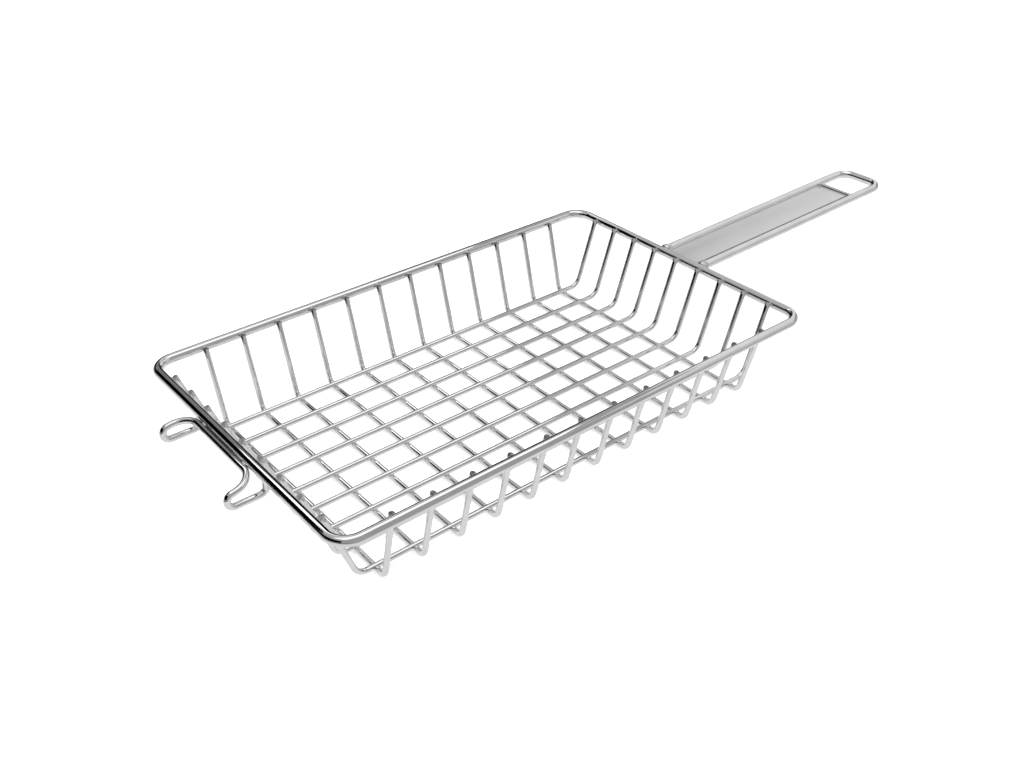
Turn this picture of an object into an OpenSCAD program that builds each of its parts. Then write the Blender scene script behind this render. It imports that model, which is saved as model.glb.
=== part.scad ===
// Grill basket: an open tray of welded wire in a rod rim, with a long hairpin
// handle at one end and a double hook at the other.
// The origin is the middle of the basket on the plane that it stands on.
// +X points to the handle, +Y across the basket, +Z up.

/* [Rim] */
// Outside length of the rim
rim_length = 340; // [250:1:440]
// Outside width of the rim
rim_width = 212; // [160:1:280]
// Height from the resting plane to the top of the rim
basket_height = 53.4; // [44:0.2:68]
// Diameter of the rod of the rim and of the handle
rim_rod_d = 6; // [5:0.1:7.2]
// Corner radius of the rim, along the middle of the rod
rim_corner_r = 12; // [9:0.5:26]

/* [Mesh] */
// Diameter of the mesh wire
mesh_wire_d = 3.5; // [2.8:0.1:4.2]
// Outward run of the two end walls, from floor to rim
end_wall_run = 15.8; // [8:0.2:20]
// Outward run of the two side walls, from floor to rim
side_wall_run = 11.9; // [8:0.2:20]
// Bend radius between floor and end wall
end_bend_r = 8; // [4:0.5:12]
// Bend radius between floor and side wall
side_bend_r = 5.5; // [4:0.5:8]
// Distance from the last cross wire to the corner of floor and end wall
end_wire_inset = 11.7; // [10:0.1:16]
// Distance from the last long wire to the corner of floor and side wall
side_wire_inset = 6.5; // [6:0.1:12]
// Length of wire that stands above the middle of the rim
wire_end_rise = 2; // [0:0.1:2.2]
// The same for the cross wires, on the long sides
side_end_rise = 0.9; // [0:0.1:2.2]
// Depth to which welded wires are set into each other
weld_set = 0.25; // [0.1:0.05:0.3]

/* [Handle] */
// Reach of the handle beyond the rim
handle_length = 201.2; // [120:0.2:260]
// Angle at which the handle rises towards its tip
handle_tilt = 1.2; // [0:0.1:3]
// Outside width of the handle
handle_width = 39.4; // [34:0.2:60]
// Corner radius at the tip of the handle, along the middle of the rod
handle_corner_r = 9.6; // [7:0.2:12]
// Clear length of the opening that the handle hangs by
hang_opening = 27.8; // [16:0.2:32]
// Diameter of the crossbar between plate and opening
crossbar_d = 3.5; // [2.8:0.1:4.2]
// Thickness of the plate
plate_thick = 2; // [1.5:0.1:3]
// Height of the plate's top face above the middle of the rod
plate_rise = 0.2; // [0:0.1:0.8]
// Gap between the plate and each leg of the handle
plate_gap = 0.5; // [0.3:0.1:1]

/* [Hook] */
// Diameter of the hook's wire
hook_wire_d = 4; // [3.2:0.1:4.8]
// Distance between the two loops of the hook
hook_spacing = 75; // [60:1:100]
// Distance of the hook's middle from the middle of the basket
hook_offset = 7.5; // [-12:0.5:12]
// Reach of the hook beyond the rim
hook_reach = 19.9; // [18:0.1:26]
// Bend radius between the loops and the strand along the rim
hook_bend_r = 12; // [9:0.5:13]
// Radius of each loop, along the middle of the wire
hook_loop_r = 4.2; // [3.9:0.1:4.8]
// Angle at which the loops slope down from the rim
hook_droop = 10.3; // [0:0.1:15]
// Angle below level at which the strand lies against the rim
hook_seat = 21; // [12:0.5:30]
// Bend radius of the wire's ends, which turn up under the rim
hook_end_r = 4; // [3:0.2:4.6]
// Distance of the wire's ends from the middle of the rim, towards the basket
hook_end_in = 0.8; // [0:0.1:1.2]
// Depth to which the hook is set into the rim
hook_set = 0.05; // [0.02:0.01:0.08]

/* [Hidden] */
$fn = 48;
long_wire_count = 9;
cross_wire_count = 12;

// Rim: half sizes and height of the middle of its rod
rim_rod_r = rim_rod_d / 2;
rim_x = rim_length / 2 - rim_rod_r;
rim_y = rim_width / 2 - rim_rod_r;
rim_z = basket_height - rim_rod_r;

// Floor: cross wires lie on the resting plane, long wires are welded on top
cross_z = mesh_wire_d / 2;
long_z = cross_z + mesh_wire_d - weld_set;

// Each wall leans out until its wires touch the inside of the rim
touch_gap = rim_rod_r + mesh_wire_d / 2 - weld_set;
end_lean = atan(end_wall_run / (rim_z - long_z));
side_lean = atan(side_wall_run / (rim_z - cross_z));
end_corner = rim_x - touch_gap / cos(end_lean) - end_wall_run;
side_corner = rim_y - touch_gap / cos(side_lean) - side_wall_run;

// Spacing of the wires, fitted between the corners of the floor
cross_first = end_corner - end_wire_inset;
cross_pitch = 2 * cross_first / (cross_wire_count - 1);
long_first = side_corner - side_wire_inset;
long_pitch = 2 * long_first / (long_wire_count - 1);

// Handle: middle lines of its rod, plate and crossbar
handle_start = rim_x + rim_rod_r;
handle_tip = handle_start + handle_length - rim_rod_r;
handle_y = handle_width / 2 - rim_rod_r;
crossbar_x = handle_tip - rim_rod_r - hang_opening - crossbar_d / 2;
plate_w = 2 * (handle_y - rim_rod_r - plate_gap);
plate_set = 0.1;
plate_end = crossbar_x - crossbar_d / 2 + plate_set;

// Hook: in its own plane, out means away from the basket
hook_wire_r = hook_wire_d / 2;
hook_touch = rim_rod_r + hook_wire_r - hook_set;
strand_out = rim_x + hook_touch * cos(hook_seat);
strand_z = rim_z - hook_touch * sin(hook_seat);
loop_tip = rim_x + rim_rod_r + hook_reach - hook_wire_r;
loop_run = (loop_tip - strand_out - hook_loop_r * (1 - sin(hook_droop))) / cos(hook_droop);
loop_out = loop_tip - hook_loop_r;
loop_z = strand_z - loop_run * sin(hook_droop) - hook_loop_r * cos(hook_droop);
lower_z = loop_z - hook_loop_r;
stub_out = rim_x - hook_end_in;
stub_top = rim_z - rim_rod_r + hook_set;

// Collars over the joints between straight stretches and bends
collar_half = 0.1;
collar_lap = 0.04;
collar_gap = 0.03;

// Weld beads
root_bead_r = rim_rod_r + 0.9;
root_bead_out = 1;
tack_r = 1.8;
tack_h = plate_rise + 1.2;
tack_in = 0.8;
stub_bead_r = hook_wire_r + 0.9;
strand_bead_r = 2;
strand_bead_inset = 3;

// Part of a ring: starts on +X and turns towards +Y
module elbow(bend_r, wire_d, turn) {
    rotate_extrude(angle = turn)
        translate([bend_r, 0])
            circle(d = wire_d);
}

// Straight stretch of wire along +Z: what follows starts at its end
module stretch(length, wire_d) {
    cylinder(d = wire_d, h = length);
    translate([0, 0, length])
        children();
}

// Thin collar over the joint of a straight stretch and a bend, which makes
// them one solid
module collar(wire_d) {
    translate([0, 0, -collar_half])
        cylinder(d = wire_d + collar_lap, h = 2 * collar_half);
}

// Bend in a wire that comes along +Z and turns towards +X: what follows
// starts at its end, again along +Z with the bend's middle towards +X
module bend(bend_r, turn, wire_d) {
    trim = collar_gap / bend_r * 180 / PI;
    collar(wire_d);
    translate([bend_r, 0, 0])
        rotate([90, 0, 180]) {
            rotate([0, 0, trim])
                elbow(bend_r, wire_d, turn - 2 * trim);
            rotate([0, 0, turn])
                translate([bend_r, 0, 0])
                    rotate([90, 0, 180]) {
                        collar(wire_d);
                        children();
                    }
        }
}

// Round bar along +X from x0 to x1
module bar_x(x0, x1, wire_d) {
    translate([x0, 0, 0])
        rotate([0, 90, 0])
            cylinder(d = wire_d, h = x1 - x0);
}

// Round bar along +Y, centred
module bar_y(length, wire_d) {
    rotate([90, 0, 0])
        cylinder(d = wire_d, h = length, center = true);
}

// Wire along X that lies flat in the middle and is bent up at both ends:
// the floor's corner is at x = corner, the walls lean out by lean degrees
module tray_wire(corner, floor_z, lean, bend_r, end_rise) {
    turn = 90 - lean;
    cut = bend_r * tan(turn / 2);
    leg = (rim_z - floor_z) / cos(lean) + end_rise - cut;
    translate([-corner, 0, floor_z])
        rotate([0, -lean, 0])
            translate([0, 0, leg + cut])
                rotate([180, 0, 0])
                    stretch(leg, mesh_wire_d)
                        bend(bend_r, turn, mesh_wire_d)
                            stretch(2 * (corner - cut), mesh_wire_d)
                                bend(bend_r, turn, mesh_wire_d)
                                    stretch(leg, mesh_wire_d);
}

// The rim's ring, used for the rim and to fit the welds to it
module rim_ring() {
    side_x = rim_x - rim_corner_r;
    side_y = rim_y - rim_corner_r;
    translate([0, 0, rim_z]) {
        for (s = [-1, 1]) {
            translate([0, s * rim_y, 0])
                bar_x(-side_x, side_x, rim_rod_d);
            translate([s * rim_x, 0, 0])
                bar_y(2 * side_y, rim_rod_d);
        }
        for (k = [0:3])
            translate([(k == 0 || k == 3 ? 1 : -1) * side_x, (k < 2 ? 1 : -1) * side_y, 0])
                rotate([0, 0, 90 * k])
                    elbow(rim_corner_r, rim_rod_d, 90);
    }
}

// Turns the handle's pieces up about the place where its legs meet the rim
module tilted() {
    translate([handle_start, 0, rim_z])
        rotate([0, -handle_tilt, 0])
            translate([-handle_start, 0, -rim_z])
                children();
}

// The hairpin of rod, from the rim to the tip and back
module handle_hairpin() {
    leg = handle_tip - handle_corner_r - handle_start + weld_set;
    tilted()
        translate([handle_start - weld_set, handle_y, rim_z])
            rotate([0, 90, 0])
                rotate([0, 0, -90])
                    stretch(leg, rim_rod_d)
                        bend(handle_corner_r, 90, rim_rod_d)
                            stretch(2 * (handle_y - handle_corner_r), rim_rod_d)
                                bend(handle_corner_r, 90, rim_rod_d)
                                    stretch(leg, rim_rod_d);
}

// The two straight legs alone, from inside the rim, to fit pieces between them
module handle_legs() {
    tilted()
        for (s = [-1, 1])
            translate([0, s * handle_y, rim_z])
                bar_x(rim_x, handle_tip - handle_corner_r, rim_rod_d);
}

// The plate between the legs of the handle
module plate_body() {
    tilted()
        translate([handle_start - plate_set, -plate_w / 2, rim_z + plate_rise - plate_thick])
            cube([plate_end - handle_start + plate_set, plate_w, plate_thick]);
}

// The crossbar before its ends are shaped
module crossbar_body() {
    tilted()
        translate([crossbar_x, 0, rim_z])
            bar_y(2 * handle_y, crossbar_d);
}

// The whole hook on the front of the rim, which is the -X side. Its wire starts
// under the rim, goes out and round one loop, back to the rim and along it, and
// the same way out and back again
module hook_body() {
    stub = stub_top - lower_z - hook_end_r;
    lower = loop_out - stub_out - hook_end_r;
    upper = loop_run - hook_bend_r;
    strand = hook_spacing - 2 * hook_bend_r;
    translate([-stub_out, hook_offset + hook_spacing / 2, stub_top])
        mirror([1, 0, 0])
            rotate([180, 0, 0])
                stretch(stub, hook_wire_d)
                bend(hook_end_r, 90, hook_wire_d)
                stretch(lower, hook_wire_d)
                bend(hook_loop_r, 180 - hook_droop, hook_wire_d)
                stretch(upper, hook_wire_d)
                rotate([0, 0, 90])
                bend(hook_bend_r, 90, hook_wire_d)
                stretch(strand, hook_wire_d)
                bend(hook_bend_r, 90, hook_wire_d)
                stretch(upper, hook_wire_d)
                rotate([0, 0, -90])
                bend(hook_loop_r, 180 - hook_droop, hook_wire_d)
                stretch(lower, hook_wire_d)
                bend(hook_end_r, 90, hook_wire_d)
                stretch(stub, hook_wire_d);
}

module rim() {
    color("silver")
        rim_ring();
}

module long_wire(i) {
    color("gainsboro")
        translate([0, long_first - (i - 1) * long_pitch, 0])
            tray_wire(end_corner, long_z, end_lean, end_bend_r, wire_end_rise);
}

module cross_wire(i) {
    color("gainsboro")
        translate([(i - 1) * cross_pitch - cross_first, 0, 0])
            rotate([0, 0, 90])
                tray_wire(side_corner, cross_z, side_lean, side_bend_r, side_end_rise);
}

module handle_rod() {
    color("silver")
        handle_hairpin();
}

module handle_plate() {
    color("lightgray")
        plate_body();
}

// Round bar whose ends are shaped to the legs of the handle
module handle_crossbar() {
    color("gainsboro")
        difference() {
            crossbar_body();
            handle_legs();
        }
}

module front_hook() {
    color("gainsboro")
        hook_body();
}

// Two beads where the legs of the handle meet the rim
module handle_welds() {
    color("silver")
        difference() {
            for (s = [-1, 1])
                translate([handle_start + root_bead_out, s * handle_y, rim_z])
                    rotate([90, 0, 0])
                        sphere(r = root_bead_r);
            translate([rim_x, 0, rim_z])
                bar_y(handle_width + 2 * rim_rod_d, rim_rod_d);
            handle_legs();
            plate_body();
        }
}

// Two beads on the corners between the plate, the crossbar and the handle
module crossbar_welds() {
    color("silver")
        difference() {
            tilted()
                for (s = [-1, 1])
                    translate([plate_end - tack_in, s * (plate_w + plate_gap) / 2, rim_z])
                        cylinder(r1 = tack_r, r2 = tack_r / 2, h = tack_h);
            crossbar_body();
            handle_legs();
            plate_body();
        }
}

// Beads at the two ends of the hook's wire and at the two ends of its strand
module hook_welds() {
    strand_bead_y = hook_spacing / 2 - hook_bend_r - strand_bead_inset;
    bead_out = rim_x + rim_rod_r * cos(hook_seat) + strand_bead_r * sin(hook_seat);
    bead_z = rim_z - rim_rod_r * sin(hook_seat) + strand_bead_r * cos(hook_seat);
    color("silver")
        difference() {
            for (s = [-1, 1]) {
                translate([-stub_out, hook_offset + s * hook_spacing / 2, stub_top])
                    sphere(r = stub_bead_r);
                translate([-bead_out, hook_offset + s * strand_bead_y, bead_z])
                    sphere(r = strand_bead_r);
            }
            translate([-rim_x, hook_offset, rim_z])
                bar_y(hook_spacing + 4 * rim_rod_d, rim_rod_d);
            translate([-strand_out, hook_offset, strand_z])
                bar_y(hook_spacing - 2 * hook_bend_r, hook_wire_d);
            for (s = [-1, 1])
                translate([-stub_out, hook_offset + s * hook_spacing / 2, lower_z])
                    cylinder(d = hook_wire_d, h = rim_z - lower_z);
        }
}

rim();
for (i = [1:long_wire_count])
    long_wire(i);
for (i = [1:cross_wire_count])
    cross_wire(i);
handle_rod();
handle_plate();
handle_crossbar();
front_hook();
handle_welds();
crossbar_welds();
hook_welds();
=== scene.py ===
"""Grill basket of welded stainless wire, dressed for a plain studio picture.

Metres throughout, in the part's own frame: the origin is the middle of the
basket on the plane that it stands on, +X points to the handle and +Z is up.
"""

import bpy
import numpy as np
from mathutils import Matrix


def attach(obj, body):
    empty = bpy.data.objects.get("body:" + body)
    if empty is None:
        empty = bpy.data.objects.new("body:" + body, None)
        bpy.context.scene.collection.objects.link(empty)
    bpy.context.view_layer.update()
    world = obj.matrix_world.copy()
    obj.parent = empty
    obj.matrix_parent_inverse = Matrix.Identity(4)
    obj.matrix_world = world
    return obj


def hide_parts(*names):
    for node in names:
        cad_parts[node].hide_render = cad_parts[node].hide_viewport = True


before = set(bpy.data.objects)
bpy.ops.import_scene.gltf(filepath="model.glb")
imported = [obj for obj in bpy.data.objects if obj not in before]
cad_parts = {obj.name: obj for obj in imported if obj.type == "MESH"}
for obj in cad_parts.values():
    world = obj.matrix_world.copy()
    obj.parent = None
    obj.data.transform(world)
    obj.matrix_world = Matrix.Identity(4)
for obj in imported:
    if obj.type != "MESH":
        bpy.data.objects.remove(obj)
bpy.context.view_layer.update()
mm = 0.001

# ---------------------------------------------------------------- camera
# A studio camera on a stand, high over the near front corner of the basket,
# looking down along it towards the handle.
turn, tilt, roll = np.radians([-38.91, 34.31, -0.49])
stand = [-0.3441, -0.4510, 0.3903]
back = np.array([np.sin(turn) * np.cos(tilt), -np.cos(turn) * np.cos(tilt), np.sin(tilt)])
level = np.array([np.cos(turn), np.sin(turn), 0.0])
rise = np.cross(back, level)
right = np.cos(roll) * level + np.sin(roll) * rise
upward = -np.sin(roll) * level + np.cos(roll) * rise
camera = bpy.data.objects.new("studio_camera", bpy.data.cameras.new("studio_camera"))
bpy.context.scene.collection.objects.link(camera)
camera.matrix_world = Matrix([
    [right[k], upward[k], back[k], stand[k]] for k in range(3)
] + [[0, 0, 0, 1]])
camera.data.sensor_width = 36
camera.data.lens = 38.61
camera.data.shift_x = -0.0008
camera.data.shift_y = 0.0205
camera.data.clip_start = 0.01
camera.data.clip_end = 60
bpy.context.scene.camera = camera


# ------------------------------------------------------- floor and lights
# A round white light table that curves up into a low wall, lit by two wide
# soft lights and glowing a little itself, so that shadows all but vanish.
# Black, grey and white boards around it are seen only in the steel.
def surface(name, grid, wrap_u=False, wrap_v=False, uv=None, flat_rows=0):
    """A mesh from points on a (u, v) grid: each cell is one face, whose
    corners run (u, v), (u+1, v), (u+1, v+1), (u, v+1). wrap_u and wrap_v
    close the grid on itself; uv gives a texture place to each point. The
    first and last flat_rows rows of cells stay flat, as cut faces do."""
    nu, nv = grid.shape[:2]
    place = np.arange(nu * nv).reshape(nu, nv)
    if wrap_u:
        place = np.vstack([place, place[:1]])
    if wrap_v:
        place = np.hstack([place, place[:, :1]])
    cells = np.stack([place[:-1, :-1], place[1:, :-1], place[1:, 1:], place[:-1, 1:]], axis=-1)
    mesh = bpy.data.meshes.new(name)
    mesh.from_pydata(grid.reshape(-1, 3), [], cells.reshape(-1, 4))
    if uv is not None:
        marks = np.pad(uv, ((0, int(wrap_u)), (0, int(wrap_v)), (0, 0)), mode="wrap")
        if wrap_v:
            marks[:, -1, 1] = 1.0
        corner = np.stack([marks[:-1, :-1], marks[1:, :-1], marks[1:, 1:], marks[:-1, 1:]], axis=2)
        layer = mesh.uv_layers.new(name="wire_uv")
        layer.data.foreach_set("uv", corner.reshape(-1).astype(np.float32))
    smooth = np.ones(cells.shape[:2], dtype=bool)
    if flat_rows:
        smooth[:flat_rows] = smooth[-flat_rows:] = False
    mesh.polygons.foreach_set("use_smooth", smooth.reshape(-1))
    mesh.update()
    piece = bpy.data.objects.new(name, mesh)
    bpy.context.scene.collection.objects.link(piece)
    return piece


class Socket:
    """A shader socket on which plain arithmetic adds Math nodes."""

    def __init__(self, paint, socket):
        self.paint, self.socket = paint, socket

    def _maths(self, operation, a, b):
        return self.paint.add("ShaderNodeMath", {"operation": operation}, {0: a, 1: b})

    def __add__(self, other):
        return self._maths("ADD", self, other)

    def __mul__(self, other):
        return self._maths("MULTIPLY", self, other)

    __radd__ = __add__
    __rmul__ = __mul__


class Paint:
    """A new material and the one method that adds nodes to it."""

    def __init__(self, name):
        self.material = bpy.data.materials.new(name)
        self.material.use_nodes = True
        self.tree = self.material.node_tree
        self.shader = self.tree.nodes["Principled BSDF"]

    def add(self, kind, settings, inputs, output=0):
        """Adds a node: its settings first, then a value or link per socket.
        A setting named ramp gives the two stops as (place, colour)."""
        node = self.tree.nodes.new(kind)
        for key, value in settings.items():
            if key == "ramp":
                for mark, (place, shade) in zip(node.color_ramp.elements, value):
                    mark.position = place
                    mark.color = (*shade, 1)
            else:
                setattr(node, key, value)
        self.fill(node, inputs)
        return Socket(self, node.outputs[output])

    def fill(self, node, inputs):
        for key, value in inputs.items():
            if isinstance(value, Socket):
                self.tree.links.new(value.socket, node.inputs[key])
            else:
                node.inputs[key].default_value = value


floor_rings, floor_spokes = 40, 96
reach, wall_r, wall_h = 3.2, 1.2, 1.6
arc = np.linspace(0, np.pi / 2, 14)[1:]
floor_r = np.concatenate([
    np.geomspace(0.05, reach, floor_rings),
    reach + wall_r * np.sin(arc),
    [reach + wall_r],
])
floor_z = np.concatenate([np.zeros(floor_rings), wall_r * (1 - np.cos(arc)), [wall_h]])
around = np.linspace(0, 2 * np.pi, floor_spokes + 1)[:-1]
bowl = np.stack([
    floor_r[:, None] * np.cos(around),
    floor_r[:, None] * np.sin(around),
    np.repeat(floor_z[:, None], len(around), axis=1),
], axis=-1)
middle = np.zeros((1, len(around), 3))
studio_floor = surface("studio_floor", np.concatenate([middle, bowl]), wrap_v=True)
paper = Paint("studio_paper")
speckle = paper.add("ShaderNodeTexNoise", {}, {"Scale": 9.0, "Detail": 4.0,
                    "Vector": paper.add("ShaderNodeTexCoord", {}, {}, "Object")})
paper.fill(paper.shader, {
    "Base Color": paper.add(
        "ShaderNodeValToRGB",
        {"ramp": [(0.3, (0.90, 0.90, 0.90)), (0.7, (0.93, 0.93, 0.93))]}, {"Fac": speckle}),
    "Roughness": 1.0,
    "Specular IOR Level": 0.0,
    "Emission Color": (1.0, 1.0, 1.0, 1),
    "Emission Strength": 0.40,
})
studio_floor.data.materials.append(paper.material)


def softbox(name, place, aim, size_x, size_y, power):
    """A rectangular soft light at place that faces the point aim."""
    lamp = bpy.data.lights.new(name, "AREA")
    lamp.shape = "RECTANGLE"
    lamp.size, lamp.size_y, lamp.energy = size_x, size_y, power
    holder = bpy.data.objects.new(name, lamp)
    bpy.context.scene.collection.objects.link(holder)
    toward = np.array(place, dtype=float) - np.array(aim, dtype=float)
    toward /= np.linalg.norm(toward)
    side = np.cross([0.0, 1.0, 0.0], toward)
    side /= np.linalg.norm(side)
    over = np.cross(toward, side)
    holder.visible_glossy = False
    holder.matrix_world = Matrix([
        [side[k], over[k], toward[k], place[k]] for k in range(3)
    ] + [[0, 0, 0, 1]])
    return holder


softbox("overhead_softbox", (0.75, -0.15, 2.1), (0.1, 0.0, 0.0), 2.2, 2.0, 62)
softbox("fill_softbox", (-1.6, -1.9, 2.3), (0.0, 0.0, 0.0), 1.6, 1.6, 34)
studio_floor.visible_glossy = False


def board(name, corners, shade):
    """A flat board that only the steel's reflections see, glowing evenly
    with the given shade: black felt, grey card or a lit white sheet. Its
    four corners are given in grid order."""
    sheet = surface(name, np.array(corners, dtype=float).reshape(2, 2, 3))
    card = Paint(name)
    card.fill(card.shader, {
        "Base Color": (0, 0, 0, 1),
        "Roughness": 1.0,
        "Specular IOR Level": 0.0,
        "Emission Color": (shade, shade, shade, 1),
        "Emission Strength": 1.0,
    })
    sheet.data.materials.append(card.material)
    sheet.visible_camera = False
    sheet.visible_diffuse = False
    sheet.visible_shadow = False
    sheet.visible_transmission = False


def level_board(name, x0, x1, y0, y1, z, shade):
    """A board that lies level at height z."""
    board(name, [[x0, y0, z], [x0, y1, z], [x1, y0, z], [x1, y1, z]], shade)


def standing_board(name, start, end, bottom, top, shade):
    """A board that stands over the line from start to end. bottom and top
    are its heights at the start and at the end."""
    board(name, [[*start, bottom[0]], [*end, bottom[1]], [*start, top[0]], [*end, top[1]]], shade)


under = -0.0008
table_x, table_near, table_far = -0.40, -0.19, 0.33
level_board("table_sheet", table_x, 0.9, table_near, table_far, under, 0.78)
level_board("near_card", table_x, 3.0, -3.0, table_near, under, 0.38)
level_board("front_felt", -1.0, table_x, -3.0, 0.95, under, 0.0)
level_board("front_rug", -1.7, -1.0, -3.0, 1.9, under, 0.45)
level_board("far_felt", table_x, 3.0, table_far, 0.95, under, 0.0)
level_board("far_rug", -1.0, 3.0, 0.95, 1.9, under, 0.45)

ceiling = 2.2
level_board("overhead_sheet", -1.15, 1.45, -1.05, 0.60, ceiling, 1.25)
level_board("overhead_card", -1.15, 1.45, 0.60, 2.00, ceiling, 0.50)
level_board("overhead_strip", -1.15, 1.45, 2.00, 2.65, ceiling, 1.50)
level_board("handle_sheet", 1.9, 4.2, -2.0, 1.15, ceiling, 0.80)

floor_line, skirt_line = (under, under), (0.13, 0.13)
front_near, front_far = (-1.7, -1.2), (-1.7, 1.9)
far_flag_end, far_card_end = (-0.55, 1.9), (1.10, 1.9)
standing_board("front_skirt", front_near, front_far, floor_line, skirt_line, 0.45)
standing_board("front_flag", front_near, front_far, skirt_line, (1.4, 1.4), 0.0)
standing_board("far_skirt", front_far, (0.5, 1.9), floor_line, skirt_line, 0.45)
standing_board("far_flag", front_far, far_flag_end, skirt_line, (2.15, 2.15), 0.0)
standing_board("low_flag", far_flag_end, (3.0, 1.9), skirt_line, (0.8, 0.9), 0.0)
standing_board("far_card", far_flag_end, far_card_end, (0.8, 0.84), (1.7, 1.7), 0.2)
standing_board("corner_flag", far_card_end, (1.75, 1.9), (0.84, 0.86), (1.75, 1.75), 0.0)
standing_board("side_card", (3.0, 0.8), (3.0, 2.75), (0.5, 0.5), (3.0, 3.0), 0.80)
standing_board("near_side_card", (1.6, -1.9), (4.0, -1.9), floor_line, (2.1, 2.1), 0.60)

world = bpy.data.worlds.new("studio_air")
bpy.context.scene.world = world
world.use_nodes = True
world.node_tree.nodes["Background"].inputs["Color"].default_value = (0.37, 0.37, 0.37, 1)
world.node_tree.nodes["Background"].inputs["Strength"].default_value = 1.0
bpy.context.scene.view_settings.view_transform = "Standard"


# ------------------------------------------------------------------- rim
# One rod of polished stainless steel, 6 mm thick, bent into a rectangle with
# round corners and butt-welded to itself. Every wire hangs from it.
def round_path(corners, radii, step, closed=False):
    """Points along straight lines between corners, with each corner rounded
    by an arc: the arc's ends lie radius * tan(turn / 2) from the corner and
    its middle is on the line that halves the corner."""
    corners = np.asarray(corners, dtype=float)
    count = len(corners)
    parts = []
    for k in range(count) if closed else range(1, count - 1):
        here = corners[k]
        arrive = here - corners[k - 1]
        leave = corners[(k + 1) % count] - here
        arrive = arrive / np.linalg.norm(arrive)
        leave = leave / np.linalg.norm(leave)
        angle = np.arccos(np.clip(arrive @ leave, -1, 1))
        across = leave - (leave @ arrive) * arrive
        across = across / np.linalg.norm(across)
        start = here - radii[k] * np.tan(angle / 2) * arrive
        swing = np.linspace(0, angle, max(8, int(np.ceil(angle / step)) + 1))[:, None]
        parts.append(start + radii[k] * (np.sin(swing) * arrive + (1 - np.cos(swing)) * across))
    if not closed:
        parts = [corners[:1]] + parts + [corners[-1:]]
    return np.concatenate(parts)


def fill_in(path, gap, closed=False):
    """Adds points to a path so that none of its steps is longer than gap:
    each step is cut into equal parts."""
    ends = np.roll(path, -1, axis=0) if closed else path[1:]
    starts = path if closed else path[:-1]
    cuts = np.maximum(1, np.ceil(np.linalg.norm(ends - starts, axis=1) / gap).astype(int))
    share = np.concatenate([np.arange(c) / c for c in cuts])[:, None]
    points = np.repeat(starts, cuts, axis=0) + share * np.repeat(ends - starts, cuts, axis=0)
    return points if closed else np.vstack([points, path[-1:]])


def rod(name, path, radius, sides, lean=(0.31, 0.23, 0.92), closed=False, swell=None):
    """A round rod along a path. Its cross direction is the fixed direction
    lean less its part along the path, the second one is their cross product,
    and a point is path + r (cos a * first + sin a * second). The ends are cut
    flat, with a small chamfer, and closed. swell scales the radius."""
    gap = np.roll(path, -1, axis=0) - np.roll(path, 1, axis=0)
    if not closed:
        gap[0], gap[-1] = path[1] - path[0], path[-1] - path[-2]
    along = gap / np.linalg.norm(gap, axis=1, keepdims=True)
    steps = np.linalg.norm(np.diff(path, axis=0), axis=1)
    distance = np.concatenate([[0], np.cumsum(steps)])
    thick = np.full(len(path), radius) if swell is None else radius * swell
    if not closed:
        trim = 0.12 * radius
        head = [path[0], path[0], path[0] + trim * along[0]]
        tail = [path[-1] - trim * along[-1], path[-1], path[-1]]
        path = np.vstack([head, path[1:-1], tail])
        along = np.vstack([along[[0, 0, 0]], along[1:-1], along[[-1, -1, -1]]])
        thick = np.concatenate([
            [0, thick[0] - trim, thick[0]], thick[1:-1], [thick[-1], thick[-1] - trim, 0]])
        distance = np.concatenate([distance[[0, 0, 0]], distance[1:-1], distance[[-1, -1, -1]]])
    first = np.asarray(lean) - (along @ np.asarray(lean))[:, None] * along
    first = first / np.linalg.norm(first, axis=1, keepdims=True)
    second = np.cross(along, first)
    angle = np.linspace(0, 2 * np.pi, sides + 1)[:-1]
    ring = np.cos(angle)[:, None] * first[:, None] + np.sin(angle)[:, None] * second[:, None]
    grid = path[:, None] + thick[:, None, None] * ring
    uv = np.stack(np.broadcast_arrays(distance[:, None], angle / (2 * np.pi)), axis=-1)
    return surface(name, grid[:, ::-1], wrap_u=closed, wrap_v=True, uv=uv[:, ::-1],
                   flat_rows=0 if closed else 2)


def steel(name, light, dark, rough, haze, grain, wave):
    """Bright drawn stainless steel. The colour drifts between light and dark
    in soft patches; roughness has the same patches and fine streaks that run
    along the wire; the bump adds the streaks and a slow waviness, which bends
    the reflections a little as the bent and polished wire does."""
    paint = Paint(name)
    place = paint.add("ShaderNodeTexCoord", {}, {}, "Object")
    run = paint.add("ShaderNodeUVMap", {"uv_map": "wire_uv"}, {})
    patches = paint.add("ShaderNodeTexNoise", {}, {"Vector": place, "Scale": 55.0, "Detail": 3.0})
    stretch = paint.add("ShaderNodeMapping", {}, {"Vector": run, "Scale": (35.0, 42.0, 1.0)})
    streaks = paint.add("ShaderNodeTexNoise", {}, {
        "Vector": stretch, "Scale": 1.0, "Detail": 4.0, "Roughness": 0.6})
    slow = paint.add("ShaderNodeTexNoise", {}, {"Vector": place, "Scale": 26.0, "Detail": 1.0})
    specks = paint.add("ShaderNodeTexNoise", {}, {"Vector": place, "Scale": 2200.0, "Detail": 2.0})
    paint.fill(paint.shader, {
        "Base Color": paint.add("ShaderNodeValToRGB",
                                {"ramp": [(0.35, dark), (0.65, light)]}, {"Fac": patches}),
        "Metallic": 1.0,
        "Roughness": patches * haze + streaks * grain + rough,
        "Normal": paint.add("ShaderNodeBump", {}, {
            "Height": slow * wave + streaks * 0.0012 + specks * 0.0008,
            "Distance": 0.001, "Strength": 1.0}),
    })
    return paint.material


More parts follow.
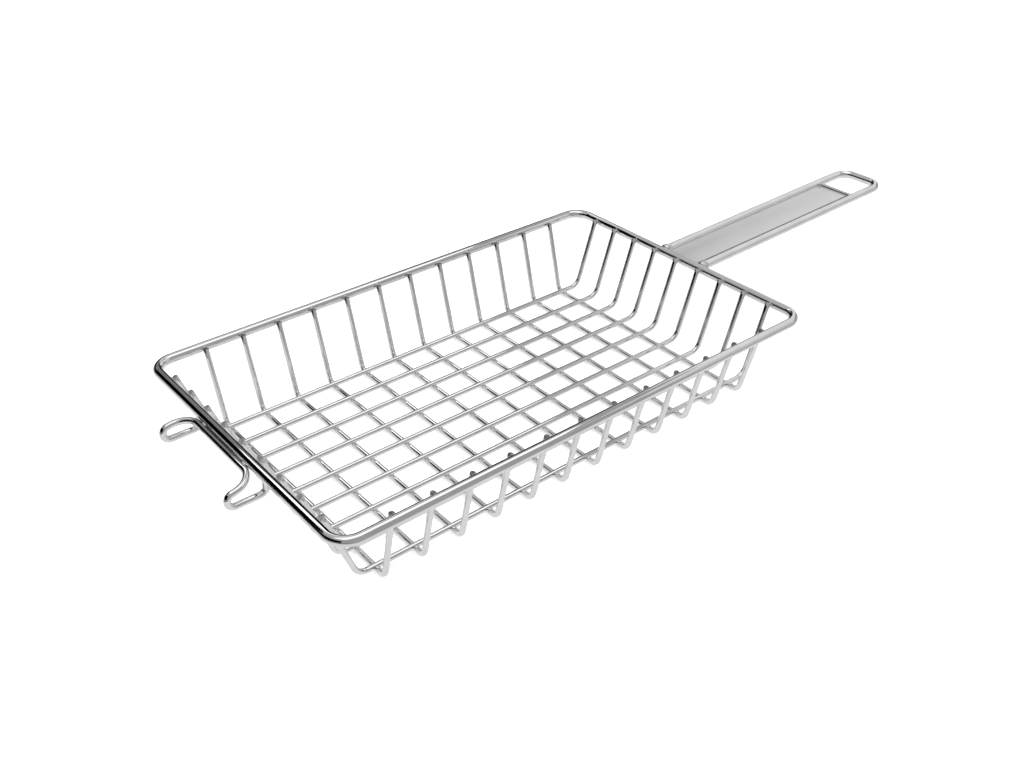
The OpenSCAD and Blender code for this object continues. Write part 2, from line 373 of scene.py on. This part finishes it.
def sawn(name, dark, light):
    """The cut end of a wire: dull, with the fine parallel marks of the blade.
    Its colour is painted darker than the drawn side's, a painted reflection
    of dark surroundings in the flat end, and runs from dark to light in
    small spots."""
    paint = Paint(name)
    place = paint.add("ShaderNodeTexCoord", {}, {}, "Object")
    marks = paint.add("ShaderNodeTexNoise", {}, {
        "Vector": paint.add("ShaderNodeMapping", {}, {
            "Vector": place, "Scale": (900.0, 5200.0, 900.0)}),
        "Scale": 1.0, "Detail": 2.0})
    spots = paint.add("ShaderNodeTexNoise", {}, {"Vector": place, "Scale": 700.0, "Detail": 2.0})
    paint.fill(paint.shader, {
        "Base Color": paint.add("ShaderNodeValToRGB",
                                {"ramp": [(0.35, dark), (0.70, light)]}, {"Fac": spots}),
        "Metallic": 1.0,
        "Roughness": marks * 0.2 + 0.32,
        "Normal": paint.add("ShaderNodeBump", {}, {
            "Height": marks * 0.05, "Distance": 0.001, "Strength": 1.0}),
    })
    return paint.material


def dress_cut(wire, side_steel, end_steel):
    """Gives a wire one steel along its length and another on its flat cut
    faces."""
    wire.data.materials.append(side_steel)
    wire.data.materials.append(end_steel)
    for face in wire.data.polygons:
        face.material_index = int(not face.use_smooth)


rod_steel = steel("polished_rod_steel", (0.86, 0.86, 0.86), (0.78, 0.78, 0.785),
                  rough=0.015, haze=0.035, grain=0.03, wave=0.20)
rod_r, rim_corner_r = 3 * mm, 12 * mm
rim_x, rim_y, rim_z = 167 * mm, 103 * mm, 50.4 * mm
rim_path = round_path(
    [[rim_x, -rim_y, rim_z], [rim_x, rim_y, rim_z],
     [-rim_x, rim_y, rim_z], [-rim_x, -rim_y, rim_z]],
    [rim_corner_r] * 4, np.radians(5), closed=True)
rim = rod("rim_rod", fill_in(rim_path, 4 * mm, closed=True), rod_r, 40, closed=True)
rim.data.materials.append(rod_steel)
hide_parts("rim")
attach(rim, "root")


# ------------------------------------------------------------- long wires
# Nine straight wires of 3.5 mm stainless steel that run from front to handle.
# They lie on the cross wires, turn up at both ends and are cut off flat just
# above the middle of the rim, against its inner side.
wire_steel = steel("polished_wire_steel", (0.88, 0.88, 0.88), (0.80, 0.80, 0.80),
                   rough=0.015, haze=0.035, grain=0.03, wave=0.20)
# Cut faces of the long wires: painted darker than the drawn wire, a painted reflection of dark
# surroundings in the flat ends.
sawn_steel = sawn("sawn_wire_steel", (0.40, 0.40, 0.40), (0.72, 0.72, 0.72))
# Near-black cut faces for the cross wires: a painted reflection of dark surroundings in their flat
# ends.
painted_dark_end_steel = sawn("painted_dark_wire_end_steel", (0.10, 0.10, 0.10), (0.30, 0.30, 0.30))
wire_r = 1.75 * mm
weld_set = 0.25 * mm
touch = rod_r + wire_r - weld_set


def tray_path(corner, floor_z, run, bend_r, end_rise):
    """The middle line of a tray wire in its own plane: flat at height
    floor_z between -corner and corner, then up walls whose slope is run over
    the height to the rim, to end_rise past the rim's height; bend_r rounds
    the two corners."""
    lean = np.arctan(run / (rim_z - floor_z))
    wall = (rim_z - floor_z) / np.cos(lean) + end_rise
    top = np.array([np.sin(lean), np.cos(lean)]) * wall
    flat = np.array([[-corner - top[0], floor_z + top[1]], [-corner, floor_z],
                     [corner, floor_z], [corner + top[0], floor_z + top[1]]])
    points = round_path(np.insert(flat, 1, 0, axis=1), [0, bend_r, bend_r, 0], np.radians(6))
    return fill_in(points, 6 * mm)


end_run, side_run = 15.8 * mm, 11.9 * mm
long_z = 2 * wire_r - weld_set + wire_r
end_lean = np.arctan(end_run / (rim_z - long_z))
side_lean = np.arctan(side_run / (rim_z - wire_r))
end_corner = rim_x - touch / np.cos(end_lean) - end_run
side_corner = rim_y - touch / np.cos(side_lean) - side_run
long_inset = 6.5 * mm
long_rows = np.linspace(side_corner - long_inset, long_inset - side_corner, 9)
long_path = tray_path(end_corner, long_z, end_run, 8 * mm, 2 * mm)
for number, row in enumerate(long_rows, 1):
    wire = rod(f"long_wire_piece_{number}", long_path + [0, row, 0], wire_r, 28)
    dress_cut(wire, wire_steel, sawn_steel)
    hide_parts(f"long_wire_{number}")
    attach(wire, "root")


# ------------------------------------------------------------ cross wires
# Twelve wires of the same stock underneath, from side to side. The basket
# stands on them. Their ends turn up the same way; their cut faces are painted
# nearly black, a painted reflection of dark surroundings in the flat ends.
cross_inset = 11.7 * mm
cross_rows = np.linspace(cross_inset - end_corner, end_corner - cross_inset, 12)
cross_path = tray_path(side_corner, wire_r, side_run, 5.5 * mm, 0.9 * mm)[:, [1, 0, 2]]
for number, row in enumerate(cross_rows, 1):
    wire = rod(f"cross_wire_piece_{number}", cross_path + [row, 0, 0], wire_r, 28)
    # The cross wires' cut faces get the near-black painted reflection.
    dress_cut(wire, wire_steel, painted_dark_end_steel)
    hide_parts(f"cross_wire_{number}")
    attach(wire, "root")


# ------------------------------------------------------------ mesh welds
# Resistance welds join the wires where they cross and where their ends touch
# the rim. Each leaves a small squeezed-out collar of metal in the corners.
def nuggets(name, places, turns, size):
    """Small flattened beads, one at each place: a ball whose radius swells
    by a tenth in four soft lobes, scaled by size along its own axes, which
    are the columns of its turn."""
    down = np.linspace(0, np.pi, 8)[:, None]
    round_ = np.linspace(0, 2 * np.pi, 13)[:-1][None]
    lobes = 1 + 0.1 * np.cos(4 * round_) * np.sin(down)
    ball = np.stack([lobes * np.sin(down) * np.cos(round_), lobes * np.sin(down) * np.sin(round_),
                     np.cos(down) + 0 * round_], axis=-1) * size
    grids = places[:, None, None] + np.einsum("nij,uvj->nuvi", turns, ball)
    count, nu, nv = grids.shape[:3]
    place = np.arange(count * nu * nv).reshape(count, nu, nv)
    place = np.concatenate([place, place[:, :, :1]], axis=2)
    cells = np.stack([place[:, :-1, :-1], place[:, 1:, :-1],
                      place[:, 1:, 1:], place[:, :-1, 1:]], axis=-1)
    mesh = bpy.data.meshes.new(name)
    mesh.from_pydata(grids.reshape(-1, 3), [], cells.reshape(-1, 4))
    mesh.polygons.foreach_set("use_smooth", np.ones(len(mesh.polygons), dtype=bool))
    mesh.update()
    piece = bpy.data.objects.new(name, mesh)
    bpy.context.scene.collection.objects.link(piece)
    return piece


def weld_metal(name, rough):
    """Weld metal after polishing: still bright, slightly duller than the
    wire, with fine ripples and small pits."""
    paint = Paint(name)
    place = paint.add("ShaderNodeTexCoord", {}, {}, "Object")
    ripples = paint.add("ShaderNodeTexNoise", {}, {"Vector": place, "Scale": 900.0, "Detail": 3.0})
    pits = paint.add("ShaderNodeTexVoronoi", {}, {"Vector": place, "Scale": 1500.0})
    paint.fill(paint.shader, {
        "Base Color": paint.add(
            "ShaderNodeValToRGB",
            {"ramp": [(0.3, (0.62, 0.615, 0.60)), (0.7, (0.84, 0.84, 0.84))]}, {"Fac": ripples}),
        "Metallic": 1.0,
        "Roughness": ripples * 0.16 + rough,
        "Normal": paint.add("ShaderNodeBump", {}, {
            "Height": ripples * 0.12 + pits * 0.04, "Distance": 0.001, "Strength": 1.0}),
    })
    return paint.material


weld_steel = weld_metal("polished_weld_steel", 0.08)
grid_x, grid_y = np.meshgrid(cross_rows, long_rows, indexing="ij")
grid_z = np.full_like(grid_x, 2 * wire_r - weld_set / 2)
crossings = np.stack([grid_x, grid_y, grid_z], axis=-1).reshape(-1, 3)
upright = np.repeat(np.eye(3)[None], len(crossings), axis=0)
mesh_welds = nuggets("mesh_weld_beads", crossings, upright, np.array([1.25, 1.25, 0.75]) * mm)


def rim_contacts(half, lean, rows, swap):
    """Where wall wires touch the rim, and the turn of a bead there: its
    third axis points from the wire to the middle of the rim."""
    sign = np.repeat([-1.0, 1.0], len(rows))
    across = np.tile(rows, 2)
    out = np.stack([sign * np.cos(lean), 0 * sign, 0 * sign - np.sin(lean)], axis=-1)
    rim_middle = np.stack([sign * half, across, 0 * sign + rim_z], axis=-1)
    place = rim_middle - (rod_r - weld_set / 2) * out
    side = np.tile([0.0, 1.0, 0.0], (len(sign), 1))
    turns = np.stack([side, np.cross(out, side), out], axis=-1)
    if swap:
        place, turns = place[:, [1, 0, 2]], turns[:, [1, 0, 2]][:, :, [1, 0, 2]]
    return place, turns


for label, half, lean, rows, swap in (
        ("end_weld_beads", rim_x, end_lean, long_rows, False),
        ("side_weld_beads", rim_y, side_lean, cross_rows, True)):
    place, turns = rim_contacts(half, lean, rows, swap)
    beads = nuggets(label, place, turns, np.array([1.15, 1.35, 0.6]) * mm)
    beads.data.materials.append(weld_steel)
    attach(beads, "root")
mesh_welds.data.materials.append(weld_steel)
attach(mesh_welds, "root")


# ------------------------------------------------------------- handle rod
# The same 6 mm rod bent into one long hairpin. Its two ends butt against the
# outer side of the rim and are welded all round.
handle_y = 16.7 * mm
handle_start = rim_x + rod_r
handle_tip = 368.2 * mm
handle_tilt = np.radians(1.2)


def tilted(points):
    """Points of the level handle turned up by handle_tilt about the line
    across the handle where its legs meet the rim."""
    x, y, z = np.moveaxis(points - [handle_start, 0, rim_z], -1, 0)
    out = x * np.cos(handle_tilt) - z * np.sin(handle_tilt)
    up = x * np.sin(handle_tilt) + z * np.cos(handle_tilt)
    return np.stack([out, y, up], axis=-1) + [handle_start, 0, rim_z]


handle_corner_r = 9.6 * mm
handle_path = fill_in(round_path(
    [[handle_start - weld_set, handle_y, rim_z], [handle_tip, handle_y, rim_z],
     [handle_tip, -handle_y, rim_z], [handle_start - weld_set, -handle_y, rim_z]],
    [0, handle_corner_r, handle_corner_r, 0], np.radians(5)), 4 * mm)
handle = rod("handle_hairpin", tilted(handle_path), rod_r, 40)
handle.data.materials.append(rod_steel)
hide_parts("handle_rod")
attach(handle, "root")

# The weld at each root is a lumpy collar, drawn out a little along the leg.
collar_rings = 24
for number, side in enumerate((1, -1)):
    reach_x = np.linspace(-1.6, 4.2, collar_rings) * mm
    crown = np.clip(1 - np.linspace(-1, 1, collar_rings) ** 2, 0, 1) ** 0.7
    lumps = 1 + 0.30 * crown * (1 + 0.25 * np.sin(np.linspace(0, 7, collar_rings) + number))
    collar_path = np.stack([handle_start + reach_x, np.full(collar_rings, side * handle_y),
                            np.full(collar_rings, rim_z)], axis=-1)
    collar = rod(f"handle_weld_bead_{number + 1}", tilted(collar_path), rod_r * 0.985, 32,
                 swell=lumps)
    collar.data.materials.append(weld_steel)
    if number == 0:
        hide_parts("handle_welds")
    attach(collar, "root")


# ------------------------------------------------------------ handle plate
# A flat strip of stainless sheet, 2 mm thick, brushed along its length. It
# fills the handle between the legs, half a millimetre clear of each.
plate_w, plate_top, plate_thick = 26.4 * mm, rim_z + 0.2 * mm, 2 * mm
hang_opening = 27.8 * mm
crossbar_x = handle_tip - rod_r - hang_opening - wire_r
plate_start, plate_end = handle_start, crossbar_x - 1.65 * mm


def slab(name, x0, x1, width, top, thick, edge):
    """A flat bar along X with all its edges rounded: its section is a
    rectangle whose corners are arcs of radius edge, and over the last edge
    of its length at both ends the section shrinks along the same arc."""
    quarter = np.linspace(0, np.pi / 2, 5)
    arc_u = np.concatenate([np.cos(quarter + k * np.pi / 2) for k in range(4)])
    arc_v = np.concatenate([np.sin(quarter + k * np.pi / 2) for k in range(4)])
    hub_u = np.repeat([1, -1, -1, 1], 5) * (width / 2 - edge)
    hub_v = np.repeat([1, 1, -1, -1], 5) * (thick / 2 - edge)
    bend = np.linspace(0, np.pi / 2, 5)
    grow = np.concatenate([[0], np.sin(bend), np.ones(30), np.sin(bend[::-1]), [0]])
    along = np.concatenate([
        [x0], x0 + edge * (1 - np.cos(bend)), np.linspace(x0 + edge, x1 - edge, 32)[1:-1],
        x1 - edge * (1 - np.cos(bend[::-1])), [x1]])
    core = np.concatenate([[0], np.ones(40), [0]])
    y = core[:, None] * hub_u + edge * grow[:, None] * arc_u
    z = core[:, None] * hub_v + edge * grow[:, None] * arc_v + top - thick / 2
    grid = np.stack([np.repeat(along[:, None], len(arc_u), axis=1), y, z], axis=-1)
    uv = np.stack(np.broadcast_arrays(along[:, None], np.linspace(0, 1, len(arc_u))), axis=-1)
    return surface(name, tilted(grid)[::-1], wrap_v=True, uv=uv[::-1])


def brushed(name):
    """Satin sheet: long fine scratches along X, in two widths, that lighten
    and darken it and raise a faint grain, over a soft cloudy haze. A dark
    line of painted shade runs along the edge on the -Y side, where the plate
    meets that leg."""
    paint = Paint(name)
    place = paint.add("ShaderNodeTexCoord", {}, {}, "Object")
    fine = paint.add("ShaderNodeTexNoise", {}, {
        "Vector": paint.add("ShaderNodeMapping", {}, {
            "Vector": place, "Scale": (26.0, 5200.0, 5200.0)}),
        "Scale": 1.0, "Detail": 3.0, "Roughness": 0.65})
    broad = paint.add("ShaderNodeTexNoise", {}, {
        "Vector": paint.add("ShaderNodeMapping", {}, {
            "Vector": place, "Scale": (9.0, 900.0, 900.0)}),
        "Scale": 1.0, "Detail": 2.0})
    cloud = paint.add("ShaderNodeTexNoise", {}, {"Vector": place, "Scale": 38.0, "Detail": 3.0})
    shade = fine * 0.45 + broad * 0.25 + cloud * 0.3
    across = paint.add("ShaderNodeSeparateXYZ", {}, {"Vector": place}, "Y")
    # Painted shade: the colour falls to a narrow dark line along the -Y edge, where the plate meets
    # that leg.
    dark_to, clear_from = -11.9 * mm, -11.3 * mm
    line = paint.add("ShaderNodeMapRange", {}, {
        "Value": across, "From Min": dark_to, "From Max": clear_from,
        "To Min": 0.06, "To Max": 1.0})
    bright = paint.add(
        "ShaderNodeValToRGB",
        {"ramp": [(0.35, (0.84, 0.84, 0.845)), (0.65, (0.94, 0.94, 0.94))]}, {"Fac": shade})
    paint.fill(paint.shader, {
        "Base Color": bright * line,
        "Metallic": 1.0,
        "Roughness": fine * 0.16 + cloud * 0.08 + 0.30,
        "Normal": paint.add("ShaderNodeBump", {}, {
            "Height": fine * 0.03 + broad * 0.012, "Distance": 0.001, "Strength": 1.0}),
    })
    return paint.material


plate_edge_r = 0.35 * mm
plate = slab("handle_plate_strip", plate_start, plate_end, plate_w, plate_top, plate_thick,
             plate_edge_r)
plate.data.materials.append(brushed("satin_plate_steel"))
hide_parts("handle_plate")
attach(plate, "root")


# --------------------------------------------------------------- crossbar
# A short piece of the mesh wire between the legs. It closes the plate's outer
# end and leaves a loop at the tip to hang the basket by. A drop of weld metal
# ties it, the plate's corner and the leg together at each side.
bar_path = np.array([[crossbar_x, y, rim_z] for y in np.linspace(-14.6, 14.6, 9) * mm])
crossbar = rod("handle_crossbar_wire", tilted(bar_path), wire_r, 28)
crossbar.data.materials.append(wire_steel)
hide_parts("handle_crossbar")
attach(crossbar, "root")
corner_drops = np.array([[crossbar_x - 0.9 * mm, s * 13.6 * mm, rim_z + 1.0 * mm] for s in (-1, 1)])
drops = nuggets("crossbar_weld_drops", tilted(corner_drops), np.repeat(np.eye(3)[None], 2, axis=0),
                np.array([1.9, 1.5, 1.3]) * mm)
drops.data.materials.append(weld_steel)
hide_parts("crossbar_welds")
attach(drops, "root")


# ------------------------------------------------------------- front hook
# One 4 mm wire bent into two loops that stand out from the front and droop a
# little. Its middle lies along the rim and its two ends turn up under it.
hook_r = 2 * mm
hook_set = 0.05 * mm
seat, droop = np.radians([21, 10.3])
loop_r, bend_r, end_r = 4.2 * mm, 12 * mm, 4 * mm
hook_mid, hook_half = 7.5 * mm, 37.5 * mm
strand_out = rim_x + (rod_r + hook_r - hook_set) * np.cos(seat)
strand_z = rim_z - (rod_r + hook_r - hook_set) * np.sin(seat)
loop_tip = rim_x + rod_r + 19.9 * mm - hook_r
loop_run = (loop_tip - strand_out - loop_r * (1 - np.sin(droop))) / np.cos(droop)
loop_z = strand_z - loop_run * np.sin(droop) - loop_r * np.cos(droop)
stub_out = rim_x - 0.8 * mm


def arc_points(middle, first, second, radius, angle, count):
    """Points on an arc: middle + radius (cos a * first + sin a * second)."""
    a = np.linspace(0, angle, count)[:, None]
    return middle + radius * (np.cos(a) * np.asarray(first) + np.sin(a) * np.asarray(second))


def hook_side(sign):
    """Half of the hook's middle line, from the strand outwards round one
    bend and one loop, back under the rim and up to it."""
    y1 = sign * hook_half
    slope = np.array([-np.cos(droop), 0, -np.sin(droop)])
    below = np.array([np.sin(droop), 0, -np.cos(droop)])
    corner = np.array([-strand_out, y1, strand_z])
    bend = arc_points(corner + bend_r * slope - [0, sign * bend_r, 0], -slope, [0, sign, 0],
                      bend_r, np.pi / 2, 18)
    far = corner + loop_run * slope
    loop = arc_points(far + loop_r * below, -below, slope, loop_r, np.pi - droop, 26)
    heel = np.array([-stub_out - end_r, y1, loop_z - loop_r + end_r])
    foot = arc_points(heel, [0, 0, -1], [1, 0, 0], end_r, np.pi / 2, 12)
    stub = np.array([[-stub_out, y1, rim_z - rod_r + hook_set]])
    return np.concatenate([bend, loop, foot, stub])


hook_path = np.concatenate([hook_side(-1)[::-1], hook_side(1)]) + [0, hook_mid, 0]
hook = rod("front_hook_wire", fill_in(hook_path, 3 * mm), hook_r, 32, lean=(0.57, 0.6, 0.56))
hook.data.materials.append(wire_steel)
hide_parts("front_hook")
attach(hook, "root")

# Round beads under the rim at the wire's two ends, and two in the groove
# above the strand near its bends.
bead_out = rim_x + rod_r * np.cos(seat) + 0.7 * mm * np.sin(seat)
bead_z = rim_z - rod_r * np.sin(seat) + 0.7 * mm * np.cos(seat)
hook_spots = np.array(
    [[-stub_out, hook_mid + s * hook_half, rim_z - rod_r - 0.2 * mm] for s in (-1, 1)]
    + [[-bead_out, hook_mid + s * (hook_half - bend_r - 3 * mm), bead_z] for s in (-1, 1)])
bead_sizes = np.array([[2.5, 2.6, 1.5], [2.5, 2.6, 1.5], [1.3, 2.6, 1.0], [1.3, 2.6, 1.0]]) * mm
hook_beads = nuggets("hook_weld_beads", hook_spots, np.eye(3) * bead_sizes[:, None], 1.0)
hook_beads.data.materials.append(weld_steel)
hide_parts("hook_welds")
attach(hook_beads, "root")
